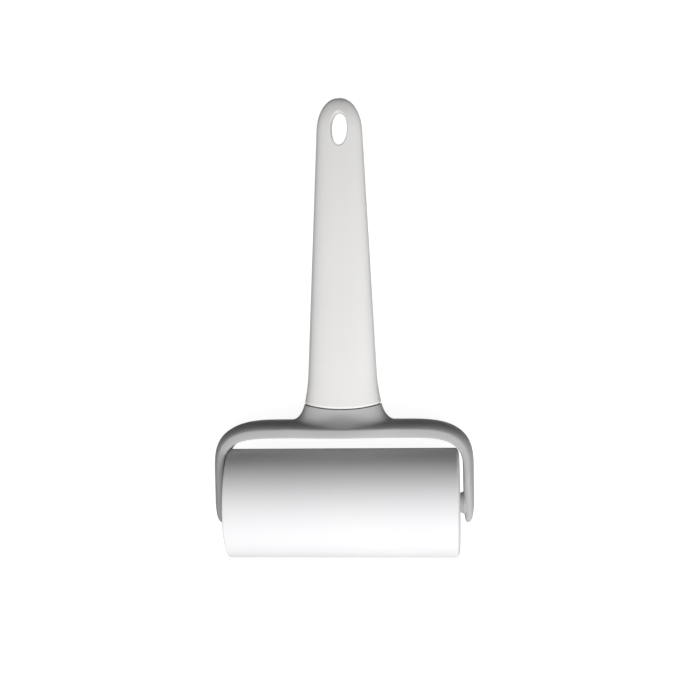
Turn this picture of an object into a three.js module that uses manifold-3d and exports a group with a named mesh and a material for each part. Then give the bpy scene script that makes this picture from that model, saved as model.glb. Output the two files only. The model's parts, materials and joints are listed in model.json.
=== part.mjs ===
// Dough roller: a barrel that turns on a fixed axle between the arms of a moulded yoke, with a handle on it.
// Millimetres. The tool frame has X along the axle, Y up the handle and Z out of the front face, with its
// origin at the middle of the axle. At the end the tool is laid down on its barrel and its handle's end.
import * as THREE from 'three';
import { mergeVertices } from 'three/addons/utils/BufferGeometryUtils.js';
import Module from 'manifold-3d';

const wasm = await Module();
wasm.setup();

// Fits: between pieces that seat on each other, and between pieces that turn against each other.
const SEAT_GAP = 0.3;
const RUNNING_GAP = 0.3;

// Barrel, a tube with a seat for a cap in each end.
const ROLLER_DIAMETER = 48.8;
const ROLLER_LENGTH = 103.2;
const ROLLER_EDGE_RADIUS = 2;
const BARREL_WALL = 4.2;
const CAP_STOP_STEP = 0.8;

// End caps: disc, skirt that grips the barrel and hub that holds the bush.
const CAP_RECESS = 1.5;
const CAP_DISC = 2.5;
const CAP_SKIRT_LENGTH = 9;
const CAP_SKIRT_WALL = 2;
const CAP_HUB_LENGTH = 14;
const CAP_HUB_WALL = 3;
const CAP_EDGE = 0.5;

// Axle, with the bushes and washers on it.
const AXLE_DIAMETER = 4.5;
const AXLE_CHAMFER = 0.6;
const BUSH_LENGTH = 12;
const BUSH_WALL = 2;
const BUSH_FLANGE_WIDTH = 2;
const BUSH_FLANGE_THICKNESS = 1.2;
const WASHER_WIDTH = 2.2;
const WASHER_THICKNESS = 0.8;

// Yoke arms and bridge. The section has a flat inside, short upright edges and a domed outside with a flat
// crown. Its edges and dome go over from the arm's to the bridge's through the shoulder.
const ARM_GAP = 1.8;
const ARM_THICKNESS = 4.6;
const ARM_WIDTH = 18;
const ARM_END_WIDTH = 8.5;
const ARM_REACH = 8.75;
const ARM_TIP_LENGTH = 12;
const ARM_TIP_POWER = 2.6;
const ARM_TIP_SHARE = 0.36;
const ARM_EDGE_RADIUS = 2.5;
const ARM_EDGE_SHARE = 0.55;
const ARM_SKIN = 2;
const BRIDGE_GAP = 5.8;
const BRIDGE_THICKNESS = 7.35;
const BRIDGE_WIDTH = 26;
const BRIDGE_EDGE_RADIUS = 0.8;
const BRIDGE_EDGE_SHARE = 0.47;
const CROWN_WIDTH = 5;
const DOME_POWER = 1.5;

// Shoulders where the bridge turns into the arms, as superellipses: a power of 2 is an ellipse, more is
// squarer. The inner one clears the barrel's rim, and is followed from an angle at which it lies level with
// the start of the outer one.
const INNER_CORNER_WIDTH = 34;
const INNER_CORNER_HEIGHT = 22.5;
const INNER_CORNER_START = 0.06;
const INNER_CORNER_CLEARANCE = 0.5;
const OUTER_CORNER_WIDTH = 30;
const OUTER_CORNER_HEIGHT = 21.5;
const OUTER_CORNER_POWER = 2.95;

// Bosses inside the arms, which hold the axle's ends.
const BOSS_WALL = 1.6;
const BOSS_TAPER = 0.75;
const BOSS_ROOT = 1;

// Collar, which flares from the handle's seam down to the bridge, and the spigot that the handle slides on.
// The flare is a curve from its foot to the seam: hug is how far it follows the bridge's slope, rise how far
// it comes down from the seam, and slope how far it leans out there, going over from the front to the side.
const COLLAR_HEIGHT = 7;
const COLLAR_FOOT = 6.8;
const COLLAR_FOOT_INSET = 0.7;
const COLLAR_FOOT_POWER = 2;
const COLLAR_FRONT = { hug: 1.3, rise: 0.05, slope: 0.55 };
const COLLAR_SIDE = { hug: 0.65, rise: 0.35, slope: 0.28 };
const COLLAR_SIDE_POWER = 6;
const COLLAR_SINK = 0.4;
const SEAM_DIP = 2.1;
const SEAM_GROOVE = 0.3;
const SPIGOT_LENGTH = 30;
const SPIGOT_CHAMFER = 1.2;

// Handle: a taper with a small flare at the seam and a round end.
const HANDLE_LENGTH = 136.05;
const HANDLE_BASE_WIDTH = 31.8;
const HANDLE_BASE_DEPTH = 16.4;
const HANDLE_END_WIDTH = 20.3;
const HANDLE_END_DEPTH = 9.5;
const HANDLE_END_DOME = 14.4;
const HANDLE_FLARE_WIDTH = 1.3;
const HANDLE_FLARE_DEPTH = 0.3;
const HANDLE_FLARE_HEIGHT = 14;
const HANDLE_LIP_RADIUS = 1.1;
const HANDLE_WALL = 2.4;
const HANDLE_POWER = 3.4;
const HANDLE_DOME_POWER = 2.15;
const SEAM_FADE_HEIGHT = 24;

// Hang hole near the handle's end.
const HOLE_WIDTH = 7.4;
const HOLE_HEIGHT = 14.8;
const HOLE_FROM_END = 13.75;
const HOLE_EDGE_RADIUS = 0.6;

// Screw from under the bridge into a boss in the handle.
const SCREW_DIAMETER = 3.5;
const SCREW_LENGTH = 26;
const SCREW_POINT = 3;
const SCREW_HEAD_DIAMETER = 7;
const SCREW_HEAD_HEIGHT = 2.6;
const SCREW_HEAD_ROUND = 0.8;
const SCREW_HEAD_RECESS = 3.4;
const SCREW_WEB = 4;
const SCREW_BOSS_WALL = 1.6;
const SCREW_SLOT_LENGTH = 4.2;
const SCREW_SLOT_WIDTH = 0.9;
const SCREW_SLOT_DEPTH = 1.4;

// Facets: sides of round pieces, points around and along the moulded ones.
const BARREL_SIDES = 64;
const CAP_SIDES = 48;
const BORE_SIDES = 32;
const SCREW_SIDES = 24;
const EDGE_STEPS = 4;
const OVAL_SIDES = 36;
const HANDLE_STEPS = 14;
const HANDLE_STEP_GROWTH = 1.4;
const DOME_STEPS = 8;
const SECTION_DOME_STEPS = 5;
const SECTION_EDGE_STEPS = 2;
const TIP_STEPS = 5;
const ARM_STEPS = 4;
const CORNER_STEPS = 12;
const BRIDGE_STEPS = 4;
const FLARE_STEPS = 6;
const HOLE_SIDES = 28;

// How far a cutting shape stands out past the face that it cuts.
const OVERCUT = 1;

// Range and steps of the search for a superellipse's power.
const POWER_LIMITS = [1, 50];
const POWER_HALVINGS = 40;

// Share of a distance over which a surface's slope is measured.
const SLOPE_STEP = 0.01;

// Radii and stations along the axle, worked out from the sizes above.
const rollerRadius = ROLLER_DIAMETER / 2;
const rollerEnd = ROLLER_LENGTH / 2;
const capFace = rollerEnd - CAP_RECESS;
const capSeatRadius = rollerRadius - BARREL_WALL;
const axleRadius = AXLE_DIAMETER / 2;
const bushBore = axleRadius + RUNNING_GAP;
const bushRadius = bushBore + BUSH_WALL;
const bushFlangeRadius = bushRadius + BUSH_FLANGE_WIDTH;
const washerFace = capFace + RUNNING_GAP;
const bossTip = washerFace + WASHER_THICKNESS + SEAT_GAP;
const axleSocketRadius = axleRadius + SEAT_GAP;
const armInner = rollerEnd + ARM_GAP;
const armOuter = armInner + ARM_THICKNESS;
const armTip = armInner + ARM_THICKNESS * ARM_TIP_SHARE;
const axleSocketEnd = armOuter - ARM_SKIN;

// The rounded edge of the barrel's ends.
const rollerEdge = Math.min(ROLLER_EDGE_RADIUS, BARREL_WALL / 2);

// Heights above the axle.
const bridgeBottom = rollerRadius + BRIDGE_GAP;
const bridgeTop = bridgeBottom + BRIDGE_THICKNESS;
const seamHeight = bridgeTop + COLLAR_HEIGHT;
const handleStart = seamHeight + SEAM_GROOVE;
const handleEnd = seamHeight + HANDLE_LENGTH;
const handleDomeStart = handleEnd - HANDLE_END_DOME;
const holeHeight = handleEnd - HOLE_FROM_END;
const spigotTop = seamHeight + SPIGOT_LENGTH;
const screwSeat = bridgeBottom + SCREW_HEAD_RECESS;
const screwBoreFloor = screwSeat + SCREW_WEB;
const screwRadius = SCREW_DIAMETER / 2;
const screwHoleRadius = screwRadius + SEAT_GAP;
const screwBossRadius = screwHoleRadius + SCREW_BOSS_WALL;
const screwTip = screwSeat + SCREW_LENGTH;

const { lerp, smoothstep } = THREE.MathUtils;

// A power that keeps the sign of its base.
function signedPower(base, exponent) {
  return Math.sign(base) * Math.abs(base) ** exponent;
}

// The point of a superellipse at an angle, as shares of its two half-widths.
function superellipsePoint(angle, power) {
  return [signedPower(Math.cos(angle), 2 / power), signedPower(Math.sin(angle), 2 / power)];
}

// The power at which a superellipse passes through a point, given as shares of its two half-widths.
function superellipsePower(across, up) {
  let [low, high] = POWER_LIMITS;
  for (let halving = 0; halving < POWER_HALVINGS; halving += 1) {
    const power = (low + high) / 2;
    if (across ** power + up ** power > 1) {
      low = power;
    } else {
      high = power;
    }
  }
  return high;
}

// A closed skin through rings of points that run counter-clockwise seen from the last ring, with a point at
// each end.
function loft(rings, startPoint, endPoint) {
  const sides = rings[0].length;
  const points = [...rings.flat(), startPoint, endPoint];
  const start = points.length - 2;
  const end = points.length - 1;
  const lastRing = (rings.length - 1) * sides;
  const index = [];
  for (let side = 0; side < sides; side += 1) {
    const next = (side + 1) % sides;
    index.push(start, next, side);
    for (let ring = 0; ring < lastRing; ring += sides) {
      index.push(ring + side, ring + next, ring + sides + side);
      index.push(ring + next, ring + sides + next, ring + sides + side);
    }
    index.push(end, lastRing + side, lastRing + next);
  }
  return new THREE.BufferGeometry().setFromPoints(points).setIndex(index);
}

// A turned shape about Y from a profile of [radius, height] points, up the outside and down the inside.
function turnedUpright(profile, sides) {
  return new THREE.LatheGeometry(profile.map(([radius, height]) => new THREE.Vector2(radius, height)), sides);
}

// The same about X, with heights measured along X.
function turned(profile, sides) {
  return turnedUpright(profile, sides).rotateZ(-Math.PI / 2);
}

// A profile that ends where it starts, for a ring or a tube.
function closed(profile) {
  return [...profile, profile[0]];
}

// A plain round plug between two heights.
function plugProfile(radius, from, to) {
  return [[0, from], [radius, from], [radius, to], [0, to]];
}

// A quarter round of a profile about a centre, from one angle to another.
function arcProfile(radius, centreRadius, centreHeight, fromAngle, toAngle) {
  return Array.from({ length: EDGE_STEPS + 1 }, (_, step) => {
    const angle = lerp(fromAngle, toAngle, step / EDGE_STEPS);
    return [centreRadius + radius * Math.cos(angle), centreHeight + radius * Math.sin(angle)];
  });
}

// A geometry as a solid that can be joined and cut.
function solid(geometry) {
  geometry.deleteAttribute('normal');
  geometry.deleteAttribute('uv');
  const merged = mergeVertices(geometry);
  const triVerts = [];
  for (let corner = 0; corner < merged.index.count; corner += 3) {
    const triangle = [0, 1, 2].map((offset) => merged.index.getX(corner + offset));
    if (new Set(triangle).size === 3) {
      triVerts.push(...triangle);
    }
  }
  return new wasm.Manifold(new wasm.Mesh({
    numProp: 3,
    vertProperties: merged.attributes.position.array,
    triVerts: new Uint32Array(triVerts),
  }));
}

// A solid as a geometry again.
function geometryOf(shape) {
  const { vertProperties, triVerts } = shape.getMesh();
  const geometry = new THREE.BufferGeometry();
  geometry.setAttribute('position', new THREE.BufferAttribute(vertProperties, 3));
  geometry.setIndex(new THREE.BufferAttribute(triVerts, 1));
  geometry.computeVertexNormals();
  return geometry;
}

// Yoke section from an inner to an outer point: over the dome from front to back, then along the inside to
// the front.
function yokeSection({ inner, outer, halfDepth, crown }) {
  const across = new THREE.Vector2().subVectors(outer, inner);
  const thickness = across.length();
  const level = Math.abs(across.y) / thickness;
  const wall = thickness * lerp(ARM_EDGE_SHARE, BRIDGE_EDGE_SHARE, level);
  const edge = Math.min(lerp(ARM_EDGE_RADIUS, BRIDGE_EDGE_RADIUS, level), wall);
  const profile = [];
  const place = (depth, height) => profile.push([depth, height]);
  for (const side of [1, -1]) {
    for (let step = 0; step <= SECTION_DOME_STEPS; step += 1) {
      const turn = side > 0 ? step : SECTION_DOME_STEPS - step;
      const angle = (turn / SECTION_DOME_STEPS) * (Math.PI / 2);
      const [out, rise] = superellipsePoint(angle, DOME_POWER);
      place(side * lerp(crown, halfDepth, out), lerp(wall, thickness, rise));
    }
  }
  for (const side of [-1, 1]) {
    for (let step = 0; step <= SECTION_EDGE_STEPS; step += 1) {
      const turn = side < 0 ? step : SECTION_EDGE_STEPS - step;
      const angle = (turn / SECTION_EDGE_STEPS) * (Math.PI / 2);
      place(side * (halfDepth - edge + edge * Math.cos(angle)), edge - edge * Math.sin(angle));
    }
  }
  return profile.map(([depth, height]) => {
    const { x, y } = inner.clone().addScaledVector(across, height / thickness);
    return new THREE.Vector3(x, y, depth);
  });
}

// Half the yoke's depth at a place along its bridge.
function yokeHalfDepth(along) {
  const share = Math.min(1, Math.abs(along) / armOuter);
  return lerp(ARM_WIDTH, BRIDGE_WIDTH, Math.cos(share * Math.PI / 2) ** 2) / 2;
}

// The share of its full depth that an arm has at a height: it narrows from the shoulder down to its tip.
function armTaper(height) {
  const share = smoothstep(height, -ARM_REACH, bridgeTop - OUTER_CORNER_HEIGHT);
  return lerp(ARM_END_WIDTH / ARM_WIDTH, 1, share);
}

// Height of the bridge's domed top over a point of its plan.
function bridgeSurface(along, depth) {
  const crown = CROWN_WIDTH / 2;
  const wall = BRIDGE_THICKNESS * BRIDGE_EDGE_SHARE;
  const share = Math.max(0, Math.abs(depth) - crown) / (yokeHalfDepth(along) - crown);
  const rise = Math.max(0, 1 - share ** DOME_POWER) ** (1 / DOME_POWER);
  return bridgeBottom + lerp(wall, BRIDGE_THICKNESS, rise);
}

// Rise of the bridge's surface from a point towards another one, along its slope at the first.
function bridgeRise(from, to) {
  const step = new THREE.Vector3().subVectors(to, from).multiplyScalar(SLOPE_STEP);
  const ahead = bridgeSurface(from.x + step.x, from.z + step.z);
  const behind = bridgeSurface(from.x - step.x, from.z - step.z);
  return (ahead - behind) / (2 * SLOPE_STEP);
}

// Stations from the tip of the right arm up to the middle of the bridge.
function yokeStations() {
  const stations = [];
  const station = (inner, outer, scale = 1) => {
    const halfDepth = scale * armTaper(outer.y) * yokeHalfDepth(outer.x);
    stations.push({ inner, outer, halfDepth, crown: scale * CROWN_WIDTH / 2 });
  };
  for (let step = 1; step <= TIP_STEPS; step += 1) {
    const angle = (step / TIP_STEPS) * (Math.PI / 2);
    const [drop, scale] = superellipsePoint(angle, ARM_TIP_POWER);
    const height = ARM_TIP_LENGTH * (1 - drop) - ARM_REACH;
    const inner = new THREE.Vector2(lerp(armTip, armInner, scale), height);
    station(inner, new THREE.Vector2(lerp(armTip, armOuter, scale), height), scale);
  }
  const corner = (angle, side, top, width, height, power) => {
    const [along, up] = superellipsePoint(angle, power);
    return new THREE.Vector2(side - width * (1 - along), top - height * (1 - up));
  };
  const rimIn = rollerEdge - (rollerEdge + INNER_CORNER_CLEARANCE) * Math.SQRT1_2;
  const innerPower = superellipsePower(
    1 - (ARM_GAP + rimIn) / INNER_CORNER_WIDTH,
    1 - (BRIDGE_GAP + rimIn) / INNER_CORNER_HEIGHT,
  );
  const turns = Array.from({ length: CORNER_STEPS + 1 }, (_, step) => {
    const angle = (step / CORNER_STEPS) * (Math.PI / 2);
    const innerAngle = lerp(INNER_CORNER_START, Math.PI / 2, step / CORNER_STEPS);
    return [
      corner(innerAngle, armInner, bridgeBottom, INNER_CORNER_WIDTH, INNER_CORNER_HEIGHT, innerPower),
      corner(angle, armOuter, bridgeTop, OUTER_CORNER_WIDTH, OUTER_CORNER_HEIGHT, OUTER_CORNER_POWER),
    ];
  });
  const tipEnd = stations[stations.length - 1];
  const [innerStart, outerStart] = turns[0];
  for (let step = 1; step < ARM_STEPS; step += 1) {
    const share = step / ARM_STEPS;
    station(tipEnd.inner.clone().lerp(innerStart, share), tipEnd.outer.clone().lerp(outerStart, share));
  }
  turns.forEach(([inner, outer]) => station(inner, outer));
  for (let step = 1; step <= BRIDGE_STEPS; step += 1) {
    const toMiddle = 1 - step / BRIDGE_STEPS;
    station(
      new THREE.Vector2((armInner - INNER_CORNER_WIDTH) * toMiddle, bridgeBottom),
      new THREE.Vector2((armOuter - OUTER_CORNER_WIDTH) * toMiddle, bridgeTop),
    );
  }
  return stations;
}

// Arms and bridge in one sweep, from the tip of the right arm to the tip of the left one.
function yokeBow() {
  const right = yokeStations();
  const mirrored = ({ x, y }) => new THREE.Vector2(-x, y);
  const left = right.slice(0, -1).reverse().map((station) => ({
    ...station,
    inner: mirrored(station.inner),
    outer: mirrored(station.outer),
  }));
  return loft(
    [...right, ...left].map(yokeSection),
    new THREE.Vector3(armTip, -ARM_REACH, 0),
    new THREE.Vector3(-armTip, -ARM_REACH, 0),
  );
}

// Half-width and half-depth of the handle at a height, before its round end.
function handleHalfSizes(height) {
  const share = (height - seamHeight) / (handleDomeStart - seamHeight);
  const spread = Math.max(0, 1 - (height - seamHeight) / HANDLE_FLARE_HEIGHT) ** 2;
  return [
    lerp(HANDLE_BASE_WIDTH, HANDLE_END_WIDTH, share) / 2 + HANDLE_FLARE_WIDTH * spread,
    lerp(HANDLE_BASE_DEPTH, HANDLE_END_DEPTH, share) / 2 + HANDLE_FLARE_DEPTH * spread,
  ];
}

// An oval ring about Y. The seam's dip lowers it at the front and the back, and leaves its sides in place.
function ovalRing(halfWidth, halfDepth, height, dip = 0) {
  return Array.from({ length: OVAL_SIDES }, (_, side) => {
    const [across, out] = superellipsePoint((side / OVAL_SIDES) * 2 * Math.PI, HANDLE_POWER);
    return new THREE.Vector3(halfWidth * across, height - dip * (1 - across ** 2), -halfDepth * out);
  });
}

// The handle's section at a height, drawn in by an inset.
function handleRing(height, inset, dip = 0) {
  const [halfWidth, halfDepth] = handleHalfSizes(height);
  return ovalRing(halfWidth - inset, halfDepth - inset, height, dip);
}

// Rings of the collar from its foot on the bridge up to the seam, each side on its own curve. The foot is a
// rounder oval than the seam.
function collarRings() {
  const [halfWidth, halfDepth] = handleHalfSizes(seamHeight);
  const footDepth = BRIDGE_WIDTH / 2 - COLLAR_FOOT_INSET;
  const curves = ovalRing(halfWidth, halfDepth, seamHeight, SEAM_DIP).map((top) => {
    const across = Math.abs(top.x) / halfWidth;
    const toSide = across ** COLLAR_SIDE_POWER;
    const blend = (key) => lerp(COLLAR_FRONT[key], COLLAR_SIDE[key], toSide);
    const out = Math.max(0, 1 - across ** COLLAR_FOOT_POWER) ** (1 / COLLAR_FOOT_POWER);
    const x = top.x + Math.sign(top.x) * across * COLLAR_FOOT;
    const z = Math.sign(top.z) * footDepth * out;
    const bottom = new THREE.Vector3(x, bridgeSurface(x, z) - COLLAR_SINK, z);
    const lower = bottom.clone().lerp(top, blend('hug'));
    lower.y = bottom.y + bridgeRise(bottom, lower);
    const drop = (top.y - bottom.y) * blend('rise');
    const upper = new THREE.Vector3(bottom.x - top.x, 0, bottom.z - top.z);
    upper.setLength(drop * blend('slope')).add(top);
    upper.y -= drop;
    return new THREE.CubicBezierCurve3(bottom, lower, upper, top);
  });
  return Array.from({ length: FLARE_STEPS + 1 }, (_, step) => (
    curves.map((curve) => curve.getPoint(step / FLARE_STEPS))
  ));
}

// Collar and spigot in one skin: up the flare to the seam, in along its ledge and up the spigot.
function yokeNeck() {
  const inset = HANDLE_WALL + SEAT_GAP;
  const [halfWidth, halfDepth] = handleHalfSizes(seamHeight);
  return loft(
    [
      ...collarRings(),
      ovalRing(halfWidth - inset, halfDepth - inset, seamHeight, SEAM_DIP),
      handleRing(seamHeight + HANDLE_FLARE_HEIGHT, inset),
      handleRing(spigotTop - SPIGOT_CHAMFER, inset),
      handleRing(spigotTop, inset + SPIGOT_CHAMFER),
    ],
    new THREE.Vector3(0, (bridgeBottom + bridgeTop) / 2, 0),
    new THREE.Vector3(0, spigotTop, 0),
  );
}

function yokeGeometry() {
  const bossTipRadius = axleSocketRadius + BOSS_WALL;
  const bossRadius = bossTipRadius + BOSS_TAPER;
  const bossProfile = [
    [0, bossTip],
    [bossTipRadius, bossTip],
    [bossRadius, armInner],
    [bossRadius, armInner + BOSS_ROOT],
    [0, armInner + BOSS_ROOT],
  ];
  const headHole = SCREW_HEAD_DIAMETER / 2 + SEAT_GAP;
  const uprightCuts = [
    plugProfile(headHole, bridgeBottom - OVERCUT, screwSeat),
    plugProfile(screwHoleRadius, bridgeBottom, screwBoreFloor + OVERCUT),
    plugProfile(screwBossRadius + SEAT_GAP, screwBoreFloor, spigotTop + OVERCUT),
  ];
  let yoke = solid(yokeBow()).add(solid(yokeNeck()));
  for (const cut of uprightCuts) {
    yoke = yoke.subtract(solid(turnedUpright(cut, BORE_SIDES)));
  }
  for (const facing of [0, Math.PI]) {
    const boss = turned(bossProfile, BORE_SIDES).rotateY(facing);
    const socket = turned(plugProfile(axleSocketRadius, bossTip - OVERCUT, axleSocketEnd), BORE_SIDES);
    yoke = yoke.add(solid(boss)).subtract(solid(socket.rotateY(facing)));
  }
  return geometryOf(yoke);
}

// Sizes of the handle's round end from its start towards its tip.
function handleDome() {
  return Array.from({ length: DOME_STEPS }, (_, step) => {
    const [shrink, rise] = superellipsePoint((step / DOME_STEPS) * (Math.PI / 2), HANDLE_DOME_POWER);
    const height = handleDomeStart + HANDLE_END_DOME * rise;
    const [halfWidth, halfDepth] = handleHalfSizes(height);
    return { halfWidth: halfWidth * shrink, halfDepth: halfDepth * shrink, height };
  });
}

// Outer skin of the handle: lip at the seam, tapered body and round end.
function handleSkin() {
  const rings = [handleRing(handleStart, HANDLE_WALL, SEAM_DIP)];
  for (let step = 0; step <= SECTION_EDGE_STEPS; step += 1) {
    const angle = (step / SECTION_EDGE_STEPS) * (Math.PI / 2);
    const height = handleStart + HANDLE_LIP_RADIUS * (1 - Math.cos(angle));
    rings.push(handleRing(height, HANDLE_LIP_RADIUS * (1 - Math.sin(angle)), SEAM_DIP));
  }
  const bodyStart = handleStart + HANDLE_LIP_RADIUS;
  for (let step = 1; step <= HANDLE_STEPS; step += 1) {
    const height = lerp(bodyStart, handleDomeStart, (step / HANDLE_STEPS) ** HANDLE_STEP_GROWTH);
    const dip = SEAM_DIP * (1 - smoothstep(height, bodyStart, bodyStart + SEAM_FADE_HEIGHT));
    rings.push(handleRing(height, 0, dip));
  }
  for (const { halfWidth, halfDepth, height } of handleDome().slice(1)) {
    rings.push(ovalRing(halfWidth, halfDepth, height));
  }
  return loft(rings, new THREE.Vector3(0, handleStart - SEAM_DIP, 0), new THREE.Vector3(0, handleEnd, 0));
}

// The space in the handle that the spigot fills.
function handleSocket() {
  const ceiling = spigotTop + SEAT_GAP;
  const mouth = handleStart - SEAM_DIP - OVERCUT;
  return loft(
    [mouth, seamHeight, seamHeight + HANDLE_FLARE_HEIGHT, ceiling].map((height) => {
      const [halfWidth, halfDepth] = handleHalfSizes(Math.max(height, seamHeight));
      return ovalRing(halfWidth - HANDLE_WALL, halfDepth - HANDLE_WALL, height);
    }),
    new THREE.Vector3(0, mouth, 0),
    new THREE.Vector3(0, ceiling, 0),
  );
}

// An oval hole through the handle, which widens to both faces with a rounded edge.
function hangHole() {
  const [, halfDepth] = handleHalfSizes(holeHeight);
  const edge = Math.min(HOLE_EDGE_RADIUS, halfDepth);
  const flare = [[edge, -halfDepth - OVERCUT]];
  for (const side of [-1, 1]) {
    for (let step = 0; step <= EDGE_STEPS; step += 1) {
      const angle = ((side < 0 ? EDGE_STEPS - step : step) / EDGE_STEPS) * (Math.PI / 2);
      flare.push([edge * (1 - Math.cos(angle)), side * (halfDepth - edge + edge * Math.sin(angle))]);
    }
  }
  flare.push([edge, halfDepth + OVERCUT]);
  const rings = flare.map(([widen, depth]) => Array.from({ length: HOLE_SIDES }, (_, side) => {
    const angle = (side / HOLE_SIDES) * 2 * Math.PI;
    const x = (HOLE_WIDTH / 2 + widen) * Math.cos(angle);
    return new THREE.Vector3(x, holeHeight + (HOLE_HEIGHT / 2 + widen) * Math.sin(angle), depth);
  }));
  const reach = halfDepth + OVERCUT;
  return loft(rings, new THREE.Vector3(0, holeHeight, -reach), new THREE.Vector3(0, holeHeight, reach));
}

function handleGeometry() {
  const bossBottom = screwBoreFloor + SEAT_GAP;
  const bossTop = spigotTop + SEAT_GAP + OVERCUT;
  const boss = solid(turnedUpright(plugProfile(screwBossRadius, bossBottom, bossTop), BORE_SIDES));
  const pilotProfile = plugProfile(screwHoleRadius, bossBottom - OVERCUT, screwTip + SEAT_GAP);
  const pilot = solid(turnedUpright(pilotProfile, SCREW_SIDES));
  const shell = solid(handleSkin()).subtract(solid(handleSocket())).subtract(solid(hangHole()));
  return geometryOf(shell.add(boss).subtract(pilot));
}

function screwGeometry() {
  const headTop = screwSeat - SEAT_GAP;
  const headBottom = headTop - SCREW_HEAD_HEIGHT;
  const headRadius = SCREW_HEAD_DIAMETER / 2;
  const round = Math.min(SCREW_HEAD_ROUND, SCREW_HEAD_HEIGHT);
  const screw = solid(turnedUpright([
    [0, headBottom],
    ...arcProfile(round, headRadius - round, headBottom + round, -Math.PI / 2, 0),
    [headRadius, headTop],
    [screwRadius, headTop],
    [screwRadius, screwTip - SCREW_POINT],
    [0, screwTip],
  ], SCREW_SIDES));
  const slots = [0, Math.PI / 2].map((turn) => {
    const slot = new THREE.BoxGeometry(SCREW_SLOT_LENGTH, 2 * SCREW_SLOT_DEPTH, SCREW_SLOT_WIDTH);
    return solid(slot.rotateY(turn).translate(0, headBottom, 0));
  });
  return geometryOf(screw.subtract(slots[0]).subtract(slots[1]));
}

function axleGeometry() {
  const end = axleSocketEnd - SEAT_GAP;
  return turned([
    [0, -end],
    [axleRadius - AXLE_CHAMFER, -end],
    [axleRadius, -end + AXLE_CHAMFER],
    [axleRadius, end - AXLE_CHAMFER],
    [axleRadius - AXLE_CHAMFER, end],
    [0, end],
  ], BORE_SIDES);
}

function washerGeometry() {
  const outer = axleSocketRadius + WASHER_WIDTH;
  const back = washerFace + WASHER_THICKNESS;
  return turned(closed([
    [axleSocketRadius, washerFace],
    [outer, washerFace],
    [outer, back],
    [axleSocketRadius, back],
  ]), BORE_SIDES);
}

function barrelGeometry() {
  const stop = capFace - CAP_SKIRT_LENGTH - SEAT_GAP;
  const bore = capSeatRadius - CAP_STOP_STEP;
  const edgeCentre = rollerRadius - rollerEdge;
  return turned(closed([
    [capSeatRadius, -rollerEnd],
    ...arcProfile(rollerEdge, edgeCentre, rollerEdge - rollerEnd, -Math.PI / 2, 0),
    ...arcProfile(rollerEdge, edgeCentre, rollerEnd - rollerEdge, 0, Math.PI / 2),
    [capSeatRadius, rollerEnd],
    [capSeatRadius, stop],
    [bore, stop],
    [bore, -stop],
    [capSeatRadius, -stop],
  ]), BARREL_SIDES);
}

function capGeometry() {
  const radius = capSeatRadius - SEAT_GAP;
  const skirtInside = radius - CAP_SKIRT_WALL;
  const hubBore = bushRadius + SEAT_GAP;
  const hubRadius = hubBore + CAP_HUB_WALL;
  const hubEnd = capFace - CAP_HUB_LENGTH;
  const discBack = capFace - CAP_DISC;
  const flangeSeat = capFace - BUSH_FLANGE_THICKNESS - SEAT_GAP;
  const flangeBore = bushFlangeRadius + SEAT_GAP;
  return turned(closed([
    [hubBore, hubEnd],
    [hubRadius, hubEnd],
    [hubRadius, discBack],
    [skirtInside, discBack],
    [skirtInside, capFace - CAP_SKIRT_LENGTH],
    [radius, capFace - CAP_SKIRT_LENGTH],
    [radius, capFace - CAP_EDGE],
    [radius - CAP_EDGE, capFace],
    [flangeBore, capFace],
    [flangeBore, flangeSeat],
    [hubBore, flangeSeat],
  ]), CAP_SIDES);
}

function bushGeometry() {
  const flangeBack = capFace - BUSH_FLANGE_THICKNESS;
  return turned(closed([
    [bushBore, capFace - BUSH_LENGTH],
    [bushRadius, capFace - BUSH_LENGTH],
    [bushRadius, flangeBack],
    [bushFlangeRadius, flangeBack],
    [bushFlangeRadius, capFace],
    [bushBore, capFace],
  ]), BORE_SIDES);
}

// Finishes: white plastics, light grey plastic, nylon and steel.
const finish = (color, roughness, metalness = 0) => () => (
  new THREE.MeshStandardMaterial({ color, roughness, metalness })
);
const handleWhite = finish(0xe9e8e6, 0.45);
const rollerWhite = finish(0xf4f4f6, 0.4);
const yokeGrey = finish(0xbdbdbd, 0.5);
const bearingNylon = finish(0xe4e0d4, 0.55);
const steel = finish(0xc4c6c8, 0.3, 1);

function piece(name, geometry, material) {
  const mesh = new THREE.Mesh(geometry, material());
  mesh.name = name;
  return mesh;
}

// A pair of turned pieces, one at each end of the roller.
function endPair(name, makeGeometry, material) {
  const right = piece(`${name}_right`, makeGeometry(), material);
  const left = piece(`${name}_left`, makeGeometry(), material);
  left.rotation.y = Math.PI;
  return [left, right];
}

const fixedPieces = new THREE.Group();
fixedPieces.add(
  piece('handle', handleGeometry(), handleWhite),
  piece('yoke', yokeGeometry(), yokeGrey),
  piece('handle_screw', screwGeometry(), steel),
  piece('axle', axleGeometry(), steel),
  ...endPair('thrust_washer', washerGeometry, bearingNylon),
);

const roller = new THREE.Group();
roller.add(
  piece('roller_barrel', barrelGeometry(), rollerWhite),
  ...endPair('end_cap', capGeometry, rollerWhite),
  ...endPair('bearing_bush', bushGeometry, bearingNylon),
);

// The tilt at which each height of the handle's back would touch the table that the barrel lies on. The
// least of them is the one at which the tool comes to rest.
function restingTilt() {
  return Math.min(...handleDome().map(({ halfDepth, height }) => (
    Math.asin(rollerRadius / Math.hypot(height, halfDepth)) - Math.atan2(halfDepth, height)
  )));
}

const lying = new THREE.Group();
lying.add(fixedPieces, roller);
lying.rotation.x = -restingTilt();
const extent = new THREE.Box3().setFromObject(lying, true);
const middle = extent.getCenter(new THREE.Vector3());
lying.position.set(-middle.x, -middle.y, -extent.min.z);

const doughRoller = new THREE.Group();
doughRoller.add(lying);

export default doughRoller;
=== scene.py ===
import json
import math

import bmesh
import bpy
import numpy as np
from mathutils import Color, Matrix, Vector


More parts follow.
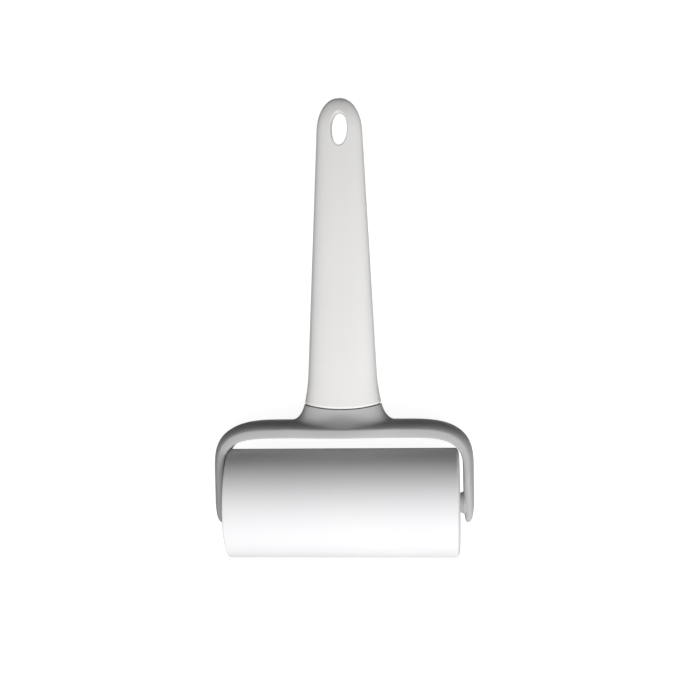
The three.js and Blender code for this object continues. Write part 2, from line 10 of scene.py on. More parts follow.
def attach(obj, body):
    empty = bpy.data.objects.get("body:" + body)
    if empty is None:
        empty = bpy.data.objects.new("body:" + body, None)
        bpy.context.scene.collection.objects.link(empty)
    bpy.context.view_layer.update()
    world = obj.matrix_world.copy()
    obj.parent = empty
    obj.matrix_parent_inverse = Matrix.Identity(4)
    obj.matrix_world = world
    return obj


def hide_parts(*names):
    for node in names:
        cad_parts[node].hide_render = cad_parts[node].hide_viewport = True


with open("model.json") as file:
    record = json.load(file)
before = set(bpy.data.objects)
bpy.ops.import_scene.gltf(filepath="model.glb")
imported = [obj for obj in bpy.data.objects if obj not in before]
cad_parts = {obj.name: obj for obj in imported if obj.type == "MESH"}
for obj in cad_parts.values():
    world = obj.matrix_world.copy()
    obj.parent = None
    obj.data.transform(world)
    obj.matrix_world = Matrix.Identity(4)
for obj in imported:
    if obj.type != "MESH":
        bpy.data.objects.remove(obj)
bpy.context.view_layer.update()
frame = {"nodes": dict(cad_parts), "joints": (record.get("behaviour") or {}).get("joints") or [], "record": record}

# Sizes are in millimetres, in the tool's own frame: X along the axle, Y up the handle, Z out of the front.
# Fits: between pieces that seat on each other, and between pieces that turn against each other.
SEAT_GAP = 0.3
RUNNING_GAP = 0.3

# Barrel. A rim is rounded by its first size along the axle and by its second one towards the axle.
ROLLER_RADIUS = 24.4
ROLLER_END = 51.6
RIM_LEFT = (0.7, 0.7)
RIM_RIGHT = (1.7, 4.0)
BARREL_WALL = 4.2
STOP_STEP = 0.8
STOP_ROUND = 0.2

# End caps: disc, skirt that grips the barrel and hub that holds the bush.
CAP_RECESS = 1.5
CAP_DISC = 2.5
CAP_SKIRT_LENGTH = 9.0
CAP_SKIRT_WALL = 2.0
CAP_HUB_LENGTH = 14.0
CAP_HUB_WALL = 3.0
CAP_FACE_ROUND = 0.6
CAP_SEAT_ROUND = 0.4
CAP_BORE_ROUND = 0.3
CAP_HUB_ROUND = 0.5
CAP_INSIDE_ROUND = 0.8
CAP_SKIRT_ROUND = 0.5
CAP_SKIRT_INSIDE_ROUND = 0.4

# Axle, with the bushes and washers on it.
AXLE_RADIUS = 2.25
AXLE_ROUND = 0.6
BUSH_LENGTH = 12.0
BUSH_WALL = 2.0
BUSH_FLANGE_WIDTH = 2.0
BUSH_FLANGE_THICKNESS = 1.2
BUSH_BORE_ROUND = 0.3
BUSH_END_ROUND = 0.4
BUSH_FLANGE_ROUND = 0.35
BUSH_FLANGE_BACK_ROUND = 0.25
WASHER_WIDTH = 2.2
WASHER_THICKNESS = 0.8
WASHER_ROUND = 0.2
WASHER_BORE_ROUND = 0.15

# Yoke arms and bridge. Edge shares are how much of the thickness the upright edges take up, and the inside
# share places a row of points on the flat inside.
ARM_GAP = 1.8
ARM_THICKNESS = 4.6
ARM_WIDTH = 18.0
ARM_END_WIDTH = 8.5
ARM_REACH = 8.75
ARM_TIP_LENGTH = 12.0
ARM_TIP_POWER = 2.6
ARM_TIP_SHARE = 0.36
ARM_EDGE = 2.5
ARM_EDGE_SHARE = 0.55
ARM_SKIN = 2.0
BRIDGE_GAP = 5.8
BRIDGE_THICKNESS = 7.35
BRIDGE_WIDTH = 26.0
BRIDGE_EDGE = 0.8
BRIDGE_EDGE_SHARE = 0.47
CROWN_HALF = 2.5
DOME_POWER = 1.5
INSIDE_SHARE = 0.7

# Shoulders where the bridge turns into the arms, as the width, height and power of superellipses.
INNER_CORNER = (34.0, 22.5, 4.52)
INNER_CORNER_START = 0.06
OUTER_CORNER = (30.0, 21.5, 2.95)

# Bosses inside the arms, which hold the axle's ends.
BOSS_WALL = 1.6
BOSS_TAPER = 0.75
BOSS_ROOT = 1.0
BOSS_FLARE = 0.3
BOSS_FLARE_HEIGHT = 0.1
BOSS_TIP_ROUND = 0.25
BOSS_ROOT_ROUND = 0.2

# Collar from the bridge up to the handle's seam. Pairs are for the front and the side: how far a curve of the
# collar follows the bridge, how far it comes down from the seam, and how far it leans out there.
COLLAR_HEIGHT = 7.0
COLLAR_FOOT = 6.8
COLLAR_FOOT_INSET = 0.3
COLLAR_FOOT_POWER = 2.0
COLLAR_HUG = (1.3, 0.65)
COLLAR_RISE = (0.05, 0.35)
COLLAR_SLOPE = (0.55, 0.28)
COLLAR_SIDE_POWER = 6
COLLAR_SINK = 0.06
SEAM_DIP = 2.1
SEAM_GROOVE = 0.3
SPIGOT_LENGTH = 30.0
SPIGOT_CHAMFER = 1.2

# Handle. Pairs are for its width and its depth.
HANDLE_LENGTH = 136.05
HANDLE_BASE = (31.8, 16.4)
HANDLE_END = (20.3, 9.5)
HANDLE_FLARE = (1.3, 0.3)
HANDLE_FLARE_HEIGHT = 14.0
HANDLE_DOME = 14.4
HANDLE_LIP = 1.1
HANDLE_WALL = 2.4
HANDLE_POWER = 3.4
HANDLE_DOME_POWER = 2.15
SEAM_FADE_HEIGHT = 24.0

# Hang hole, as half its width and half its height, and the part of the handle's faces around it.
HOLE_HALF = (3.7, 7.4)
HOLE_FROM_END = 13.75
HOLE_ROUND = 0.6
HOLE_PATCH = 15.0

# Screw from under the bridge into a boss in the handle.
SCREW_RADIUS = 1.75
SCREW_LENGTH = 26.0
SCREW_HEAD_RADIUS = 3.5
SCREW_HEAD_RECESS = 3.4
SCREW_WEB = 4.0
SCREW_BOSS_WALL = 1.6

# Stations that follow from the sizes.
CAP_FACE = ROLLER_END - CAP_RECESS
CAP_SEAT = ROLLER_RADIUS - BARREL_WALL
BUSH_BORE = AXLE_RADIUS + RUNNING_GAP
BUSH_RADIUS = BUSH_BORE + BUSH_WALL
FLANGE_RADIUS = BUSH_RADIUS + BUSH_FLANGE_WIDTH
WASHER_FACE = CAP_FACE + RUNNING_GAP
BOSS_TIP = WASHER_FACE + WASHER_THICKNESS + SEAT_GAP
SOCKET_RADIUS = AXLE_RADIUS + SEAT_GAP
ARM_INNER = ROLLER_END + ARM_GAP
ARM_OUTER = ARM_INNER + ARM_THICKNESS
ARM_TIP = ARM_INNER + ARM_THICKNESS * ARM_TIP_SHARE
SOCKET_END = ARM_OUTER - ARM_SKIN
BRIDGE_BOTTOM = ROLLER_RADIUS + BRIDGE_GAP
BRIDGE_TOP = BRIDGE_BOTTOM + BRIDGE_THICKNESS
SEAM = BRIDGE_TOP + COLLAR_HEIGHT
HANDLE_START = SEAM + SEAM_GROOVE
HANDLE_TOP = SEAM + HANDLE_LENGTH
DOME_START = HANDLE_TOP - HANDLE_DOME
HOLE_CENTRE = HANDLE_TOP - HOLE_FROM_END
PATCH_START = HOLE_CENTRE - HOLE_PATCH
SPIGOT_TOP = SEAM + SPIGOT_LENGTH
SCREW_SEAT = BRIDGE_BOTTOM + SCREW_HEAD_RECESS
SCREW_FLOOR = SCREW_SEAT + SCREW_WEB
SCREW_HOLE = SCREW_RADIUS + SEAT_GAP
SCREW_BOSS = SCREW_HOLE + SCREW_BOSS_WALL
SCREW_TIP = SCREW_SEAT + SCREW_LENGTH

# Points around and along the smooth pieces.
OVAL_SIDES = 144
LATHE_SIDES = 160
BARREL_SIDES = 256
BORE_SIDES = 96
ARC_POINTS = 7
RIM_POINTS = 17
LIP_POINTS = 9
BODY_POINTS = 61
BODY_GROWTH = 1.4
END_POINTS = 61
HOLE_EDGE_POINTS = 13
HOLE_FACE_POINTS = 29
HOLE_WALL_POINTS = 6
SECTION_DOME_POINTS = 21
SECTION_EDGE_POINTS = 7
TIP_POINTS = 25
ARM_POINTS = 13
CORNER_POINTS = 61
BRIDGE_POINTS = 13
COLLAR_POINTS = 33

# Overcut of the cutting shapes, step for measuring a slope, and limits for rounding and mending meshes.
OVERCUT = 1.0
SLOPE_STEP = 0.01
WELD_REACH = 1e-4
SLIVER_WIDTH = 1e-5
LEAST_WIDTH = 1e-6
COSINE_DIGITS = 12
MOST_CORNERS = 4

# Sharpest edges, in degrees, over which a piece is shaded as smooth.
HANDLE_CREASE = 50
YOKE_CREASE = 42
TURNED_CREASE = 35

# Plastics: a slow flow of tone, uneven gloss and a fine grain, each a noise of a scale and a detail.
NOISE_RANGE = (0.3, 0.7)
TONE_NOISE = (28, 3)
GLOSS_NOISE = (160, 4)
GLOSS_SPREAD = 0.04
GRAIN_DETAIL = 2
GRAIN_DISTANCE = 0.00005

# Steel: lines drawn out along the axle.
LINE_STRETCH = (40, 4000, 4000)
LINE_NOISE = (1, 3)
STEEL_ROUGHNESS = (0.22, 0.38)

# Table and surroundings, in metres and shares of white. The table is darker for diffuse light than it looks.
FLOOR_HALF = 4.0
FLOOR_GLOW = 0.94
FLOOR_WHITE = 0.36
FLOOR_BOUNCE = 0.06
AMBIENT = 0.01

# Soft boxes around a target in the tool's frame, with their distance and size in metres. Each has a direction
# from the target and a power in watts.
LAMP_TARGET = (0, 60, 0)
LAMP_DISTANCE = 0.95
LAMP_SIZE = 0.66
LAMPS = {
    "key": ((0.16, -0.42, 0.9), 6.9),
    "low_key": ((0.4, -0.7, 0.59), 2.4),
    "left_side": ((-0.75, -0.38, 0.54), 1.66),
    "right_side": ((0.9, -0.4, 0.17), 1.7),
}

# Camera around a target in the tool's frame, in degrees and millimetres. Its focal length is in pixels of the
# picture and its clip range in metres.
CAMERA_TARGET = (3.42, 68.65, 0)
CAMERA_AZIMUTH = 4.006
CAMERA_ELEVATION = 2.074
CAMERA_ROLL = -0.76
CAMERA_DISTANCE = 553.96
CAMERA_FOCAL = 1238.5
CAMERA_SENSOR = 36.0
CAMERA_CLIP = (0.01, 50)
PICTURE_WIDTH = 700

# Where the tool lies in the row frame: the axle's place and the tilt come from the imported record.
MM = 0.001
joint = frame["joints"][0]
hang_axis = next(m["axis"] for m in frame["record"]["mounts"] if m["name"] == "hang_hole")
TILT = math.atan2(hang_axis[1], hang_axis[2])
TURN = Matrix.Rotation(-TILT, 4, "X")
LAY = Matrix.Translation(joint["pos_m"]) @ TURN @ Matrix.Scale(MM, 4)

QUARTER_TURN = math.pi / 2
FULL_LEVEL = 255


def lerp(a, b, share):
    return a + (b - a) * share


def fade(height, low, high):
    """1 up to a low height and 0 from a high one, with a smooth passage between them."""
    share = min(1.0, max(0.0, (height - low) / (high - low)))
    return 1 - share * share * (3 - 2 * share)


def signed_power(base, exponent):
    return np.sign(base) * np.abs(base) ** exponent


def superellipse(angle, power):
    """Point of a superellipse's first quarter at an angle, as shares of its two half-widths."""
    return max(0.0, math.cos(angle)) ** (2 / power), math.sin(angle) ** (2 / power)


def weld(mesh):
    """Joins a mesh's coincident points, splits its many-sided faces and turns all its faces outwards."""
    bm = bmesh.new()
    bm.from_mesh(mesh)
    bmesh.ops.remove_doubles(bm, verts=bm.verts, dist=WELD_REACH)
    bmesh.ops.dissolve_degenerate(bm, dist=SLIVER_WIDTH, edges=bm.edges)
    bmesh.ops.triangulate(bm, faces=[face for face in bm.faces if len(face.verts) > MOST_CORNERS])
    bmesh.ops.recalc_face_normals(bm, faces=bm.faces)
    bm.to_mesh(mesh)
    bm.free()


def smooth_mesh(name, verts, faces):
    """A welded mesh object in millimetres."""
    mesh = bpy.data.meshes.new(name)
    mesh.from_pydata([tuple(v) for v in verts], [], faces)
    weld(mesh)
    obj = bpy.data.objects.new(name, mesh)
    bpy.context.scene.collection.objects.link(obj)
    return obj


def loft(rings, start=None, end=None):
    """Vertices and faces of a skin through rings, with a point at an end that is to be closed."""
    sides = len(rings[0])
    verts = [tuple(p) for ring in rings for p in ring]
    faces = []
    for r in range(len(rings) - 1):
        low, high = r * sides, (r + 1) * sides
        for i in range(sides):
            k = (i + 1) % sides
            faces.append((low + i, low + k, high + k, high + i))
    for point, ring in ((start, 0), (end, (len(rings) - 1) * sides)):
        if point is not None:
            verts.append(tuple(point))
            tip = len(verts) - 1
            faces += [(ring + i, ring + (i + 1) % sides, tip) for i in range(sides)]
    return verts, faces


def filleted(corners, is_closed):
    """Points of a profile whose corners are (radius, along, rounding)."""
    count = len(corners)
    points = []
    for i, (radius, along, rounding) in enumerate(corners):
        at = np.array((radius, along))
        if rounding == 0 or (not is_closed and i in (0, count - 1)):
            points.append(at)
            continue
        before = np.array(corners[i - 1][:2]) - at
        after = np.array(corners[(i + 1) % count][:2]) - at
        first = at + before / np.linalg.norm(before) * rounding
        last = at + after / np.linalg.norm(after) * rounding
        for s in np.linspace(0, 1, ARC_POINTS):
            points.append((1 - s) ** 2 * first + 2 * s * (1 - s) * at + s * s * last)
    return points


def turned(name, corners, is_closed=True, sides=LATHE_SIDES, upright=False):
    """A turned piece about the axle, or about the handle's axis if upright."""
    profile = filleted(corners, is_closed)
    if is_closed:
        profile.append(profile[0])
    angle = np.linspace(0, 2 * np.pi, sides, endpoint=False)
    rings = []
    for radius, along in profile:
        ring = np.stack([np.full(sides, along), radius * np.cos(angle), radius * np.sin(angle)], 1)
        rings.append(ring[:, [1, 0, 2]] if upright else ring)
    return smooth_mesh(name, *loft(rings))


def mirrored(corners, side):
    return [(radius, side * along, rounding) for radius, along, rounding in corners]


def plug(radius, low, high):
    """Corners of a plain round plug between two stations."""
    return [(0, low, 0), (radius, low, 0), (radius, high, 0), (0, high, 0)]


def join(target, tool, operation):
    """Unites a tool with the target or cuts it out, and removes the tool."""
    modifier = target.modifiers.new("join", "BOOLEAN")
    modifier.operation = operation
    modifier.solver = "EXACT"
    modifier.object = tool
    graph = bpy.context.evaluated_depsgraph_get()
    made = bpy.data.meshes.new_from_object(target.evaluated_get(graph))
    target.modifiers.clear()
    weld(made)
    target.data = made
    bpy.data.objects.remove(tool)


def settle(obj, crease):
    """Lays a finished piece down in the row frame, smooth apart from edges sharper than the crease."""
    obj.data.transform(LAY)
    obj.data.shade_smooth()
    obj.data.set_sharp_from_angle(angle=math.radians(crease))
    obj.data.update()


def handle_half(height):
    """Half-width and half-depth of the handle at a height."""
    share = (height - SEAM) / (DOME_START - SEAM)
    spread = max(0.0, 1 - (height - SEAM) / HANDLE_FLARE_HEIGHT) ** 2
    rise = min(1.0, max(0.0, (height - DOME_START) / HANDLE_DOME))
    shrink = (1 - rise ** HANDLE_DOME_POWER) ** (1 / HANDLE_DOME_POWER)
    sizes = zip(HANDLE_BASE, HANDLE_END, HANDLE_FLARE)
    return tuple(shrink * (lerp(base, end, share) / 2 + flare * spread) for base, end, flare in sizes)


def oval(half_width, half_depth, height, dip=0.0, power=HANDLE_POWER):
    """A superelliptic ring about the handle's axis, lowered at the front and back by a dip."""
    angle = np.linspace(0, 2 * np.pi, OVAL_SIDES, endpoint=False)
    across = signed_power(np.round(np.cos(angle), COSINE_DIGITS), 2 / power)
    out = signed_power(np.round(np.sin(angle), COSINE_DIGITS), 2 / power)
    return np.stack([half_width * across, height - dip * (1 - across ** 2), -half_depth * out], 1)


def round_ring(radius, height):
    return oval(radius, radius, height, power=2)


def handle_oval(height, inset, dip=0.0):
    """The handle's section at a height, drawn in by an inset."""
    half_width, half_depth = handle_half(height)
    return oval(half_width - inset, half_depth - inset, height, dip)


def handle_rings():
    """Rings from the screw hole down the handle's inside, over the lip and up to the hang hole's patch."""
    floor = SCREW_FLOOR + SEAT_GAP
    ceiling = SPIGOT_TOP + SEAT_GAP
    body_start = HANDLE_START + HANDLE_LIP
    flare_end = SEAM + HANDLE_FLARE_HEIGHT
    flare_middle = SEAM + HANDLE_FLARE_HEIGHT / 2
    rings = [
        round_ring(SCREW_HOLE, SCREW_TIP + SEAT_GAP),
        round_ring(SCREW_HOLE, floor),
        round_ring(SCREW_BOSS, floor),
        round_ring(SCREW_BOSS, ceiling),
    ]
    rings += [handle_oval(height, HANDLE_WALL) for height in (ceiling, flare_end, flare_middle, body_start)]
    rings.append(handle_oval(HANDLE_START, HANDLE_WALL, SEAM_DIP))
    for angle in np.linspace(0, QUARTER_TURN, LIP_POINTS):
        height = HANDLE_START + HANDLE_LIP * (1 - math.cos(angle))
        rings.append(handle_oval(height, HANDLE_LIP * (1 - math.sin(angle)), SEAM_DIP))
    for share in np.linspace(0, 1, BODY_POINTS)[1:] ** BODY_GROWTH:
        height = lerp(body_start, PATCH_START, share)
        dip = SEAM_DIP * fade(height, body_start, body_start + SEAM_FADE_HEIGHT)
        rings.append(handle_oval(height, 0.0, dip))
    return rings


def face_height(x, height):
    """Height of the handle's front face over its middle plane."""
    half_width, half_depth = handle_half(height)
    if half_width < LEAST_WIDTH:
        return 0.0
    share = min(1.0, abs(x) / half_width)
    return half_depth * max(0.0, 1 - share ** HANDLE_POWER) ** (1 / HANDLE_POWER)


def hole_patch(border, side):
    """Front or back face of the handle's end, as rings from the hang hole's rounded edge to a border."""
    edge = np.linspace(0, QUARTER_TURN, HOLE_EDGE_POINTS)
    outer = np.sin(np.linspace(0, QUARTER_TURN, HOLE_FACE_POINTS))[1:]
    spokes = []
    for x, height in border:
        turn = math.atan2((height - HOLE_CENTRE) / HOLE_HALF[1], x / HOLE_HALF[0])
        rim = np.array((HOLE_HALF[0] * math.cos(turn), HOLE_CENTRE + HOLE_HALF[1] * math.sin(turn)))
        reach = np.array((x, height)) - rim
        length = np.linalg.norm(reach)
        steps = [(HOLE_ROUND * (1 - math.cos(a)), HOLE_ROUND * (1 - math.sin(a))) for a in edge]
        steps += [(lerp(HOLE_ROUND, length, s), 0.0) for s in outer]
        spoke = []
        for away, drop in steps:
            px, ph = rim + reach * (away / length)
            spoke.append((px, ph, side * (face_height(px, ph) - drop)))
        spoke[-1] = (x, height, side * face_height(x, height))
        spokes.append(spoke)
    return list(zip(*spokes))


def build_handle():
    """The grip: its body, the two faces around the hang hole and the hole's wall."""
    rings = handle_rings()
    skins = [loft(rings, start=(0, SCREW_TIP + SEAT_GAP, 0))]
    climb = np.sin(np.linspace(0, QUARTER_TURN, END_POINTS))
    heights = HANDLE_TOP - (HANDLE_TOP - PATCH_START) * (1 - climb)
    right = [(handle_half(h)[0], h) for h in heights]
    left = [(-x, h) for x, h in reversed(right[:-1])]
    half = OVAL_SIDES // 2
    patches = []
    for side, line in ((1, rings[-1][half + 1:]), (-1, rings[-1][half - 1:0:-1])):
        border = right + left + [(x, h) for x, h, _ in line]
        patches.append(hole_patch(border, side))
    front_edge = patches[0][0]
    shares = np.linspace(0, 1, HOLE_WALL_POINTS)
    wall = [[(x, h, lerp(z, -z, s)) for x, h, z in front_edge] for s in shares]
    skins += [loft(layer) for layer in (*patches, wall)]
    verts, faces = [], []
    for skin_verts, skin_faces in skins:
        base = len(verts)
        verts += skin_verts
        faces += [tuple(base + i for i in face) for face in skin_faces]
    return smooth_mesh("handle_grip", verts, faces)


def yoke_half_depth(along):
    """Half the yoke's depth at a place along its bridge."""
    share = min(1.0, abs(along) / ARM_OUTER)
    return lerp(ARM_WIDTH, BRIDGE_WIDTH, math.cos(share * QUARTER_TURN) ** 2) / 2


def arm_taper(height):
    """Share of its full depth that an arm has at a height: it narrows from the shoulder down to its tip."""
    return lerp(1.0, ARM_END_WIDTH / ARM_WIDTH, fade(height, -ARM_REACH, BRIDGE_TOP - OUTER_CORNER[1]))


def bridge_surface(along, depth):
    """Height of the bridge's domed top over a point of its plan."""
    wall = BRIDGE_THICKNESS * BRIDGE_EDGE_SHARE
    share = max(0.0, abs(depth) - CROWN_HALF) / (yoke_half_depth(along) - CROWN_HALF)
    rise = max(0.0, 1 - share ** DOME_POWER) ** (1 / DOME_POWER)
    return BRIDGE_BOTTOM + lerp(wall, BRIDGE_THICKNESS, rise)


def bridge_rise(start, end):
    """Rise of the bridge's surface from a point towards another one, along its slope at the first."""
    step = SLOPE_STEP * (end - start)
    ahead = bridge_surface(start[0] + step[0], start[2] + step[2])
    behind = bridge_surface(start[0] - step[0], start[2] - step[2])
    return (ahead - behind) / (2 * SLOPE_STEP)


def yoke_section(inner, outer, half_depth, crown):
    """Section from an inner to an outer point: flat inside, short upright edges, domed outside."""
    across = outer - inner
    thickness = np.linalg.norm(across)
    level = abs(across[1]) / thickness
    wall = thickness * lerp(ARM_EDGE_SHARE, BRIDGE_EDGE_SHARE, level)
    edge = min(lerp(ARM_EDGE, BRIDGE_EDGE, level), wall)
    flat = half_depth - edge
    dome = []
    for angle in np.linspace(0, QUARTER_TURN, SECTION_DOME_POINTS):
        out, rise = superellipse(angle, DOME_POWER)
        dome.append((lerp(crown, half_depth, out), lerp(wall, thickness, rise)))
    rim = []
    for angle in np.linspace(0, QUARTER_TURN, SECTION_EDGE_POINTS):
        rim.append((flat + edge * math.cos(angle), edge - edge * math.sin(angle)))
    rim.append((flat * INSIDE_SHARE, 0))
    back = [(-depth, height) for depth, height in dome[::-1] + rim]
    points = []
    for depth, height in dome + back + rim[::-1]:
        x, y = inner + across * (height / thickness)
        points.append((x, y, depth))
    return np.array(points)


def corner_point(angle, side, top, width, height, power):
    along, up = superellipse(angle, power)
    return np.array((side - width * (1 - along), top - height * (1 - up)))


def yoke_stations():
    """Inner point, outer point and scale of sections from the right arm's tip to the bridge's middle."""
    stations = []
    for angle in np.linspace(0, QUARTER_TURN, TIP_POINTS)[1:]:
        drop, scale = superellipse(angle, ARM_TIP_POWER)
        height = ARM_TIP_LENGTH * (1 - drop) - ARM_REACH
        inner = np.array((lerp(ARM_TIP, ARM_INNER, scale), height))
        outer = np.array((lerp(ARM_TIP, ARM_OUTER, scale), height))
        stations.append((inner, outer, scale))
    tip_inner, tip_outer, _ = stations[-1]
    turns = []
    for angle in np.linspace(0, QUARTER_TURN, CORNER_POINTS):
        inner_angle = lerp(INNER_CORNER_START, QUARTER_TURN, angle / QUARTER_TURN)
        inner = corner_point(inner_angle, ARM_INNER, BRIDGE_BOTTOM, *INNER_CORNER)
        outer = corner_point(angle, ARM_OUTER, BRIDGE_TOP, *OUTER_CORNER)
        turns.append((inner, outer, 1.0))
    turn_inner, turn_outer, _ = turns[0]
    for share in np.linspace(0, 1, ARM_POINTS)[1:-1]:
        stations.append((lerp(tip_inner, turn_inner, share), lerp(tip_outer, turn_outer, share), 1.0))
    stations += turns
    for share in np.linspace(1, 0, BRIDGE_POINTS)[1:]:
        inner = np.array(((ARM_INNER - INNER_CORNER[0]) * share, BRIDGE_BOTTOM))
        outer = np.array(((ARM_OUTER - OUTER_CORNER[0]) * share, BRIDGE_TOP))
        stations.append((inner, outer, 1.0))
    return stations


def build_bow():
    """Arms and bridge in one sweep, from the tip of the right arm to the tip of the left one."""
    right = []
    for inner, outer, scale in yoke_stations():
        half_depth = scale * arm_taper(outer[1]) * yoke_half_depth(outer[0])
        right.append(yoke_section(inner, outer, half_depth, scale * CROWN_HALF))
    left = [ring * (-1, 1, 1) for ring in right[-2::-1]]
    return smooth_mesh("yoke_bow", *loft(right + left, (ARM_TIP, -ARM_REACH, 0), (-ARM_TIP, -ARM_REACH, 0)))


def collar_rings():
    """Rings from the collar's foot on the bridge up to the seam, each side on its own cubic curve."""
    half_width, half_depth = handle_half(SEAM)
    foot_depth = BRIDGE_WIDTH / 2 - COLLAR_FOOT_INSET
    curves = []
    for top in oval(half_width, half_depth, SEAM, SEAM_DIP):
        share = top[0] / half_width
        x = share * (half_width + COLLAR_FOOT)
        narrowing = max(0.0, 1 - abs(share) ** COLLAR_FOOT_POWER) ** (1 / COLLAR_FOOT_POWER)
        z = math.copysign(foot_depth * narrowing, top[2])
        bottom = np.array((x, bridge_surface(x, z) - COLLAR_SINK, z))
        to_side = abs(share) ** COLLAR_SIDE_POWER
        lower = lerp(bottom, top, lerp(*COLLAR_HUG, to_side))
        lower[1] = bottom[1] + bridge_rise(bottom, lower)
        drop = (top[1] - bottom[1]) * lerp(*COLLAR_RISE, to_side)
        out = np.array((bottom[0] - top[0], 0, bottom[2] - top[2]))
        out *= drop * lerp(*COLLAR_SLOPE, to_side) / np.linalg.norm(out)
        upper = top + out - np.array((0, drop, 0))
        curves.append((bottom, lower, upper, top))
    rings = []
    for s in np.linspace(0, 1, COLLAR_POINTS):
        weights = ((1 - s) ** 3, 3 * s * (1 - s) ** 2, 3 * s * s * (1 - s), s ** 3)
        rings.append(np.array([sum(w * p for w, p in zip(weights, curve)) for curve in curves]))
    return rings


def build_neck():
    """Collar up to the seam, then the spigot inside the handle."""
    half_width, half_depth = handle_half(SEAM)
    inset = HANDLE_WALL + SEAT_GAP
    rings = collar_rings() + [
        oval(half_width - inset, half_depth - inset, SEAM, SEAM_DIP),
        handle_oval(SEAM + HANDLE_FLARE_HEIGHT / 2, inset),
        handle_oval(SEAM + HANDLE_FLARE_HEIGHT, inset),
        handle_oval(SPIGOT_TOP - SPIGOT_CHAMFER, inset),
        handle_oval(SPIGOT_TOP, inset + SPIGOT_CHAMFER),
    ]
    middle = (BRIDGE_BOTTOM + BRIDGE_TOP) / 2
    return smooth_mesh("yoke_neck", *loft(rings, (0, middle, 0), (0, SPIGOT_TOP, 0)))


def build_yoke():
    yoke = build_bow()
    join(yoke, build_neck(), "UNION")
    tip = SOCKET_RADIUS + BOSS_WALL
    root = tip + BOSS_TAPER
    boss = [
        (0, BOSS_TIP, 0),
        (tip, BOSS_TIP, BOSS_TIP_ROUND),
        (root, ARM_INNER - BOSS_FLARE_HEIGHT, BOSS_ROOT_ROUND),
        (root + BOSS_FLARE, ARM_INNER + BOSS_FLARE_HEIGHT, 0),
        (root + BOSS_FLARE, ARM_INNER + BOSS_ROOT, 0),
        (0, ARM_INNER + BOSS_ROOT, 0),
    ]
    socket = plug(SOCKET_RADIUS, BOSS_TIP - OVERCUT, SOCKET_END)
    for side in (1, -1):
        join(yoke, turned("boss", mirrored(boss, side), False, BORE_SIDES), "UNION")
        join(yoke, turned("socket", mirrored(socket, side), False, BORE_SIDES), "DIFFERENCE")
    for name, corners in (
        ("head_hole", plug(SCREW_HEAD_RADIUS + SEAT_GAP, BRIDGE_BOTTOM - OVERCUT, SCREW_SEAT)),
        ("shank_hole", plug(SCREW_HOLE, BRIDGE_BOTTOM, SCREW_FLOOR + OVERCUT)),
        ("boss_bore", plug(SCREW_BOSS + SEAT_GAP, SCREW_FLOOR, SPIGOT_TOP + OVERCUT)),
    ):
        join(yoke, turned(name, corners, False, BORE_SIDES, upright=True), "DIFFERENCE")
    yoke.name = "yoke_frame"
    return yoke


def build_barrel():
    stop = CAP_FACE - CAP_SKIRT_LENGTH - SEAT_GAP
    bore = CAP_SEAT - STOP_STEP
    rims = []
    for along, out in (RIM_LEFT, RIM_RIGHT):
        rims.append([
            (ROLLER_RADIUS - out * (1 - math.cos(angle)), ROLLER_END - along * (1 - math.sin(angle)), 0)
            for angle in np.linspace(0, QUARTER_TURN, RIM_POINTS)
        ])
    left, right = rims
    return turned("barrel_tube", [
        (CAP_SEAT, -ROLLER_END, 0),
        *mirrored(left[::-1], -1),
        *right,
        (CAP_SEAT, ROLLER_END, 0),
        (CAP_SEAT, stop, 0),
        (bore, stop, STOP_ROUND),
        (bore, -stop, STOP_ROUND),
        (CAP_SEAT, -stop, 0),
    ], sides=BARREL_SIDES)


def build_cap(name, side):
    radius = CAP_SEAT - SEAT_GAP
    skirt = radius - CAP_SKIRT_WALL
    skirt_end = CAP_FACE - CAP_SKIRT_LENGTH
    bore = BUSH_RADIUS + SEAT_GAP
    hub = bore + CAP_HUB_WALL
    hub_end = CAP_FACE - CAP_HUB_LENGTH
    back = CAP_FACE - CAP_DISC
    seat = CAP_FACE - BUSH_FLANGE_THICKNESS - SEAT_GAP
    flange = FLANGE_RADIUS + SEAT_GAP
    return turned(name, mirrored([
        (bore, hub_end, CAP_BORE_ROUND),
        (hub, hub_end, CAP_HUB_ROUND),
        (hub, back, CAP_INSIDE_ROUND),
        (skirt, back, CAP_INSIDE_ROUND),
        (skirt, skirt_end, CAP_SKIRT_INSIDE_ROUND),
        (radius, skirt_end, CAP_SKIRT_ROUND),
        (radius, CAP_FACE, CAP_FACE_ROUND),
        (flange, CAP_FACE, CAP_SEAT_ROUND),
        (flange, seat, 0),
        (bore, seat, 0),
    ], side))


def build_bush(name, side):
    back = CAP_FACE - BUSH_FLANGE_THICKNESS
    end = CAP_FACE - BUSH_LENGTH
    return turned(name, mirrored([
        (BUSH_BORE, end, BUSH_BORE_ROUND),
        (BUSH_RADIUS, end, BUSH_END_ROUND),
        (BUSH_RADIUS, back, 0),
        (FLANGE_RADIUS, back, BUSH_FLANGE_BACK_ROUND),
        (FLANGE_RADIUS, CAP_FACE, BUSH_FLANGE_ROUND),
        (BUSH_BORE, CAP_FACE, BUSH_BORE_ROUND),
    ], side))


def build_washer(name, side):
    outer = SOCKET_RADIUS + WASHER_WIDTH
    back = WASHER_FACE + WASHER_THICKNESS
    return turned(name, mirrored([
        (SOCKET_RADIUS, WASHER_FACE, WASHER_BORE_ROUND),
        (outer, WASHER_FACE, WASHER_ROUND),
        (outer, back, WASHER_ROUND),
        (SOCKET_RADIUS, back, WASHER_BORE_ROUND),
    ], side))


def build_axle():
    end = SOCKET_END - SEAT_GAP
    return turned("axle_rod", [
        (0, -end, 0),
        (AXLE_RADIUS, -end, AXLE_ROUND),
        (AXLE_RADIUS, end, AXLE_ROUND),
        (0, end, 0),
    ], False)


